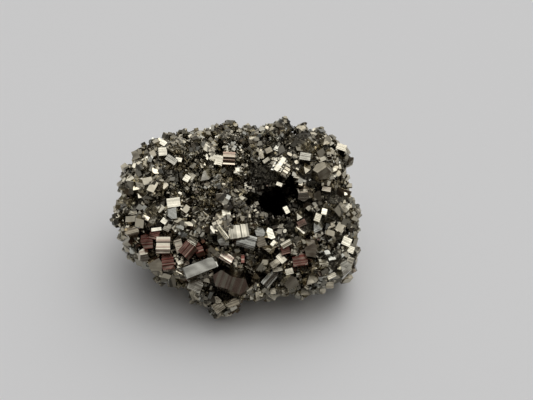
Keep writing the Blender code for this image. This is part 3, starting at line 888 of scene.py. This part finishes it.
def onCrystal(point, crystals, tree):  # whether the spot is on one of these crystals
    for _, number, _ in tree.find_n(point, small["nearest"]):
        crystal = crystals[number]
        own = crystal.turn.inverted() @ (point - crystal.middle)
        half = forms["ridgeOut" if crystal.form == formNumber["pyritohedron"] else "cubeHalf"]
        if all(abs(own[i]) < crystal.size[i] * half + small["margin"] for i in range(3)):
            return True
    return False


def besideCrystal(point, crystals, tree):  # how far the spot is from the nearest of these crystals' sides
    nearest = Room.cellSize
    for _, number, _ in tree.find_n(point, small["nearest"]):
        crystal = crystals[number]
        own = crystal.turn.inverted() @ (point - crystal.middle)
        over = Vector(max(abs(own[i]) - crystal.size[i] * forms["cubeHalf"], 0) for i in range(3))
        nearest = min(nearest, over.length)
    return nearest


def crystalTree(crystals):
    tree = KDTree(len(crystals))
    for number, crystal in enumerate(crystals):
        tree.insert(crystal.middle, number)
    tree.balance()
    return tree


def smallList():
    chance = random.Random(small["seed"])
    solid = frame["nodes"]["pyrite_cluster"]
    placed = largeCrystals + accentCrystals
    trees = crystalTree(placed), crystalTree(middleCrystals)
    families = familyList(solid, chance)
    familyTree = KDTree(len(families))
    for number, family in enumerate(families):
        familyTree.insert(family[0], number)
    familyTree.balance()
    room = Room()
    crystals = []
    for layer in small["layers"]:
        for point, normal in surfaceSpots(solid, layer["tries"], chance):
            family = families[familyTree.find(point)[1]]
            crystal = smallCrystal(point, normal, layer, family, placed, trees, room, chance)
            if crystal:
                crystals.append(crystal)
    return crystals


def smallCrystal(point, normal, layer, family, placed, trees, room, chance):
    _, turn, look, bigger, out = family
    grain = grainAt(point)
    pick = chance.random()
    edge = grain * bigger * chance.uniform(*layer["edge"])
    shape = [chance.uniform(*small["stretch"]) for _ in range(3)]
    sway = Euler([chance.uniform(-small["sway"], small["sway"]) for _ in range(3)]).to_quaternion()
    turn = turn @ sway if chance.random() < small["alike"] else randomTurn(chance)
    sunk = chance.uniform(*layer["out"])
    form = chance.choice(layer["forms"])
    own = randomLook(chance)
    look = ((look[0] + own[0]) / 2, max(look[1], own[1]), (look[2] + own[2]) / 2)
    if normal.z < small["facesDown"] and point.z < small["underneath"]:
        return None
    over, share = small["beside"]
    edge = min(edge, (besideCrystal(point, placed, trees[0]) + over) / share)
    if not room.isFree(point, edge * layer["spacing"]) or onCrystal(point, placed, trees[0]):
        return None
    coarse = (grain - small["bareFrom"]) / (small["bareTo"] - small["bareFrom"])
    bare = min(max(coarse, 0), 1) * small["bareShare"]
    if pick < bare and onCrystal(point, middleCrystals, trees[1]):
        return None
    direction = (point - lump["middle"]).normalized()
    above = (point - lump["middle"]).length - lumpRadius(direction)
    foot = point + normal * growthAt(direction) * min(max(1 - above / small["growthFade"], 0), 1)
    size = [edge * stretch for stretch in shape]
    crystal = Crystal(form, foot + normal * (out + edge * sunk), turn, size, look, foot, normal)
    reach = crystal.reach()
    low, high = (corner / mm for corner in cadBox)
    if any(crystal.middle[i] - reach[i] < low[i] or crystal.middle[i] + reach[i] > high[i] for i in range(3)):
        return None
    # painted shade: some crystals are darkened at random, standing in for shade in the gaps
    share, more = layer["shadePainted"]
    if chance.random() < share:
        crystal.paintedShade = min(crystal.paintedShade + more, 1)
    room.take(point, edge * small["ownRoom"])
    return crystal


smallCrystals = smallList()
print("small crystals:", len(smallCrystals))


# Shared effects

def newGroup(name, inputs, outputs):
    tree = bpy.data.node_groups.new(name, "ShaderNodeTree")
    for label, value in inputs:
        socket = tree.interface.new_socket(label, in_out="INPUT", socket_type="NodeSocketFloat")
        socket.default_value = value
    for label, kind in outputs:
        tree.interface.new_socket(label, in_out="OUTPUT", socket_type=kind)
    return tree, node(tree, "NodeGroupInput", (-900, 0)), node(tree, "NodeGroupOutput", (700, 0))


growthLines = {
    "fine": 17,  # lines on a face
    "broad": 5,
    "fineShare": 0.35,  # height of the fine lines, of the broad ones' height
    "shift": 61,  # how far they shift from the palest crystal to the greyest
    "detail": 2,
    "edge": (0.42, 0.58),
}


def makeStriations():  # fine and broad lines along the way that a face grew, higher on a larger face
    tree, start, end = newGroup("growthStriations", (("Place", 0), ("Seed", 0), ("Size", 1),
                                                     ("Fine", growthLines["fine"]),
                                                     ("Broad", growthLines["broad"]), ("Relief", 0)),
                                (("Height", "NodeSocketFloat"), ("Band", "NodeSocketFloat")))
    seed = compute(tree, "MULTIPLY", (-700, -200), start.outputs["Seed"], growthLines["shift"])
    edgeFrom, edgeTo = growthLines["edge"]
    heights = []
    for row, label in enumerate(("Fine", "Broad")):
        place = compute(tree, "MULTIPLY_ADD", (-500, -200 * row), start.outputs["Place"],
                        start.outputs[label], seed)
        lines = node(tree, "ShaderNodeTexNoise", (-300, -200 * row), noise_dimensions="1D")
        feed(tree, lines, Scale=1, Detail=growthLines["detail"], W=place)
        step = node(tree, "ShaderNodeMapRange", (-100, -200 * row), interpolation_type="SMOOTHSTEP")
        feed(tree, step, From_Min=edgeFrom, From_Max=edgeTo, Value=lines.outputs[0])
        heights.append(step.outputs[0])
    fine, broad = heights
    both = compute(tree, "MULTIPLY_ADD", (100, 0), fine, growthLines["fineShare"], broad)
    scaled = compute(tree, "MULTIPLY", (300, 0), both, start.outputs["Size"])
    feed(tree, end, Height=compute(tree, "MULTIPLY", (500, 0), scaled, start.outputs["Relief"]), Band=broad)
    return tree


def makePits():  # small uneven growth and wear, from the place on the lump
    tree, start, end = newGroup("growthUnevenness", (("Wave Scale", 420), ("Pit Scale", 2600),
                                                     ("Pit Share", 0.03)),
                                (("Height", "NodeSocketFloat"), ("Mottle", "NodeSocketFloat")))
    place = node(tree, "ShaderNodeTexCoord", (-900, -300)).outputs["Object"]
    wave = feed(tree, node(tree, "ShaderNodeTexNoise", (-500, 0)), Detail=0, Vector=place,
                Scale=start.outputs["Wave Scale"])
    pit = feed(tree, node(tree, "ShaderNodeTexNoise", (-500, -300)), Detail=3, Vector=place,
               Scale=start.outputs["Pit Scale"])
    both = compute(tree, "MULTIPLY_ADD", (100, 0), pit.outputs[0], start.outputs["Pit Share"],
                   wave.outputs[0])
    feed(tree, end, Height=both, Mottle=pit.outputs[0])
    return tree


striations = makeStriations()
unevenness = makePits()


# The metal of the crystals

crystalLook = {
    "pale": (0.61, 0.575, 0.465),
    "bronze": (0.475, 0.425, 0.32),
    "grey": (0.495, 0.5, 0.455),
    "bronzeAt": 0.6,  # the tint that is bronze, between 0, pale, and 1, grey
    # brown-red: tarnish, and painted reflection of a warm dark object on the faces that have it
    "tarnishAndReflection": (0.18, 0.056, 0.042),
    "leastTarnishAndReflection": 0.1,
    "bandedTarnishAndReflection": (1.6, 0.2),  # how clean the bands between stay, at no tarnish and at full tarnish with its painted reflection
    # the near-black that painted shade mixes into the metal
    "paintedShade": (0.045, 0.041, 0.033),
    "footShadeHeight": 0.32,  # how far up a crystal's sides the painted shade at its foot reaches: mm, and less on fine crystals
    "footShade": 0.75,
    "roughness": (0.05, 0.22),  # of a bright crystal and of a dull one
    "mottling": 0.08,  # the roughness that the pits add
    "plainFrom": 0.6,  # how dull a crystal without growth lines is
    "waviness": 0.00014,  # bump depth, m
    "lineRelief": 0.005,  # bump depth of the growth lines per mm of edge, mm; a dull crystal has none
}


def group(tree, which, place):
    made = node(tree, "ShaderNodeGroup", place)
    made.node_tree = which
    return made


def colourMix(tree, place, share, first, second):  # colours, or outputs that carry them
    made = node(tree, "ShaderNodeMix", place, data_type="RGBA")
    first, second = (value if isinstance(value, bpy.types.NodeSocket) else (*value, 1)
                     for value in (first, second))
    return feed(tree, made, i0=share, i6=first, i7=second).outputs[2]


def attribute(tree, name, place, output="Fac"):
    return node(tree, "ShaderNodeAttribute", place, attribute_name=name).outputs[output]


def newMaterial(name):
    material = bpy.data.materials.new(name)
    material.use_nodes = True
    return material, material.node_tree, material.node_tree.nodes["Principled BSDF"]


def makePyrite():
    material, tree, surface = newMaterial("pyrite")
    surface.inputs["Metallic"].default_value = 1
    look = feed(tree, node(tree, "ShaderNodeSeparateXYZ", (-1200, 0)),
                i0=attribute(tree, "look", (-1400, 0), "Vector"))
    tint, tarnishedAndReflecting, dull = look.outputs
    grown = attribute(tree, "grown", (-1400, -900))
    lineRelief = crystalLook["lineRelief"]
    relief = compute(tree, "MULTIPLY_ADD", (-1200, -750), dull, -lineRelief / crystalLook["plainFrom"],
                     lineRelief, use_clamp=True)
    lines = feed(tree, group(tree, striations, (-1000, -600)), Seed=tint, Size=grown, Relief=relief,
                 Place=attribute(tree, "stripe", (-1400, -600)))
    uneven = group(tree, unevenness, (-1000, -850))

    metal = feed(tree, node(tree, "ShaderNodeValToRGB", (-1000, 200)), i0=tint)
    for stop, name in zip(metal.color_ramp.elements, ("pale", "grey")):
        stop.color = (*crystalLook[name], 1)
    metal.color_ramp.elements.new(crystalLook["bronzeAt"]).color = (*crystalLook["bronze"], 1)

    # the tarnish, a brown-red that also paints the reflection of a warm dark object, follows the growth
    # lines, and full tarnish leaves no clean band
    banded = feed(tree, node(tree, "ShaderNodeMapRange", (-800, 0)), Value=lines.outputs["Band"],
                  To_Min=crystalLook["leastTarnishAndReflection"])
    atNone, atFull = crystalLook["bandedTarnishAndReflection"]
    clean = feed(tree, node(tree, "ShaderNodeMapRange", (-850, -200)), Value=tarnishedAndReflecting, To_Min=atNone,
                 To_Max=atFull)
    tarnishAndReflection = compute(tree, "POWER", (-700, 0), banded.outputs[0], clean.outputs[0])
    tarnishAndReflectionShare = compute(tree, "MULTIPLY", (-550, 0), tarnishAndReflection, tarnishedAndReflecting)
    coloured = colourMix(tree, (-600, 200), tarnishAndReflectionShare, metal.outputs[0], crystalLook["tarnishAndReflection"])

    # painted shade on whole crystals, from the hollows and the listed spots, and up from the foot of each
    # where it meets the others, less far up a fine one
    upTo = compute(tree, "MINIMUM", (-1300, 700), grown, 1)
    rise = compute(tree, "DIVIDE", (-1150, 600), attribute(tree, "height", (-1400, 500)), upTo)
    foot = node(tree, "ShaderNodeMapRange", (-1000, 500), interpolation_type="SMOOTHSTEP")
    feed(tree, foot, Value=rise, From_Max=crystalLook["footShadeHeight"], To_Min=crystalLook["footShade"], To_Max=0)
    mostShade = compute(tree, "MAXIMUM", (-700, 500), foot.outputs[0], attribute(tree, "paintedShade", (-1400, -300)))
    shadePainted = colourMix(tree, (-400, 200), mostShade, coloured, crystalLook["paintedShade"])

    bright, dullest = crystalLook["roughness"]
    rough = feed(tree, node(tree, "ShaderNodeMapRange", (-600, -100)), Value=dull, To_Min=bright,
                 To_Max=dullest)
    mottled = compute(tree, "MULTIPLY_ADD", (-400, -100), uneven.outputs["Mottle"], crystalLook["mottling"],
                      rough.outputs[0])
    wavy = feed(tree, node(tree, "ShaderNodeBump", (-600, -850)), Distance=crystalLook["waviness"],
                Height=uneven.outputs["Height"])
    lined = feed(tree, node(tree, "ShaderNodeBump", (-300, -600)), Distance=mm,
                 Height=lines.outputs["Height"], Normal=wavy.outputs[0])
    feed(tree, surface, Base_Color=shadePainted, Roughness=mottled, Normal=lined.outputs[0])
    return material


# The intergrown mass between the crystals, near black as painted shade in the gaps

massLook = {
    # near black: painted shade where the mass shows between the crystals
    "colour": (0.05, 0.045, 0.036),
    "fleck": (0.22, 0.20, 0.15),
    "fleckEdge": (0.5, 0.65),
    "roughness": 0.5,
    "waveScale": 900,
    "pitShare": 0.35,
    "relief": 0.0006,  # bump depth, m
}


def makeMassMaterial():
    material, tree, surface = newMaterial("pyriteMassPaintedShade")
    surface.inputs["Metallic"].default_value = 1
    surface.inputs["Roughness"].default_value = massLook["roughness"]
    uneven = feed(tree, group(tree, unevenness, (-900, -300)), Wave_Scale=massLook["waveScale"],
                  Pit_Share=massLook["pitShare"])
    start, full = massLook["fleckEdge"]
    fleck = node(tree, "ShaderNodeMapRange", (-600, 100), interpolation_type="SMOOTHSTEP")
    feed(tree, fleck, Value=uneven.outputs["Mottle"], From_Min=start, From_Max=full)
    bump = feed(tree, node(tree, "ShaderNodeBump", (-300, -300)), Distance=massLook["relief"],
                Height=uneven.outputs["Height"])
    feed(tree, surface, Normal=bump.outputs[0],
         Base_Color=colourMix(tree, (-300, 100), fleck.outputs[0], massLook["colour"], massLook["fleck"]))
    return material


pyrite = makePyrite()


def finishPiece(piece, material):
    piece.data.materials.clear()
    piece.data.materials.append(material)
    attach(piece, "root")


finishPiece(massPiece, makeMassMaterial())
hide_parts("pyrite_cluster")
smallAt = {"smallCrystalsLeft": [], "smallCrystalsMiddle": [], "smallCrystalsRight": [],
           "smallCrystalsBack": []}
middleFrom, middleTo = -10, 11  # mm across the face
for crystal in smallCrystals:
    right, _, out = viewedPlace(crystal.middle)
    part = "Back" if out <= 0 else "Left" if right < middleFrom else "Right" if right > middleTo else "Middle"
    smallAt["smallCrystals" + part].append(crystal)
for name, crystals in (("largeCrystals", largeCrystals), ("accentCrystals", accentCrystals),
                       ("middleCrystals", middleCrystals), *smallAt.items()):
    finishPiece(growCrystals(name, crystals), pyrite)
for form in list(formFolder.objects):
    bpy.data.objects.remove(form)
bpy.data.collections.remove(formFolder)


# Floor, light and camera

studio = {
    "floor": (0.79, 0.79, 0.785),
    "keyFrom": (0.25, 0.35, 1.0),  # the way to the middle of the bright part of the sky
    # degrees from there and how bright the sky is, as a share of the brightest
    "glow": ((0, 1.0), (10, 0.8), (20, 0.42), (30, 0.3), (40, 0.22), (50, 0.14), (65, 0.075), (90, 0.035)),
    "brightest": 3.6,
    "colour": (0.99, 0.99, 1.0),
    "viewerSide": (0.05, 0.038, 0.03),  # the room behind the viewer, and where it starts and is full
    "viewerEdge": (0.82, 0.97),
    "floorSize": 6,
    "floorRoughness": 0.8,
}


def makeFloor():
    deselectAll()
    bpy.ops.mesh.primitive_plane_add(size=studio["floorSize"])
    floor = bpy.context.object
    floor.name = "floor"
    material, _, surface = newMaterial("paper")
    surface.inputs["Base Color"].default_value = (*studio["floor"], 1)
    surface.inputs["Roughness"].default_value = studio["floorRoughness"]
    floor.data.materials.append(material)


def makeSky():
    world = bpy.data.worlds.new("studio")
    bpy.context.scene.world = world
    world.use_nodes = True
    tree = world.node_tree
    way = node(tree, "ShaderNodeTexCoord", (-1200, 0)).outputs["Generated"]
    key = computeVector(tree, "DOT_PRODUCT", (-1000, 0), way, Vector(studio["keyFrom"]).normalized())
    angle = compute(tree, "ARCCOSINE", (-850, 0), key)
    glow = feed(tree, node(tree, "ShaderNodeValToRGB", (-550, 0)),
                i0=compute(tree, "DIVIDE", (-700, 0), angle, math.pi))
    stops = glow.color_ramp.elements
    while len(stops) < len(studio["glow"]):
        stops.new(0.5)
    for stop, (degrees, brightness) in zip(stops, studio["glow"]):
        stop.position = degrees / 180
        stop.color = (*(Vector(studio["colour"]) * brightness), 1)
    bright = node(tree, "ShaderNodeVectorMath", (-250, 0), operation="SCALE")
    feed(tree, bright, i0=glow.outputs[0], Scale=studio["brightest"])
    near = node(tree, "ShaderNodeMapRange", (-800, -300), interpolation_type="SMOOTHSTEP")
    start, full = studio["viewerEdge"]
    feed(tree, near, Value=computeVector(tree, "DOT_PRODUCT", (-1000, -300), way, outOfFace), From_Min=start,
         From_Max=full)
    feed(tree, tree.nodes["Background"],
         Color=colourMix(tree, (0, 0), near.outputs[0], bright.outputs[0], studio["viewerSide"]))


lens = 50  # mm


def makeCamera():
    deselectAll()
    aim = facePoint(*lump["viewedAt"])
    bpy.ops.object.camera_add(location=(aim + outOfFace * lump["viewedFrom"]) * mm,
                              rotation=(-outOfFace).to_track_quat("-Z", "Y").to_euler())
    camera = bpy.context.object
    camera.data.lens = lens
    bpy.context.scene.camera = camera


makeFloor()
makeSky()
makeCamera()
bpy.context.scene.view_settings.view_transform = "Standard"
print("stage set")
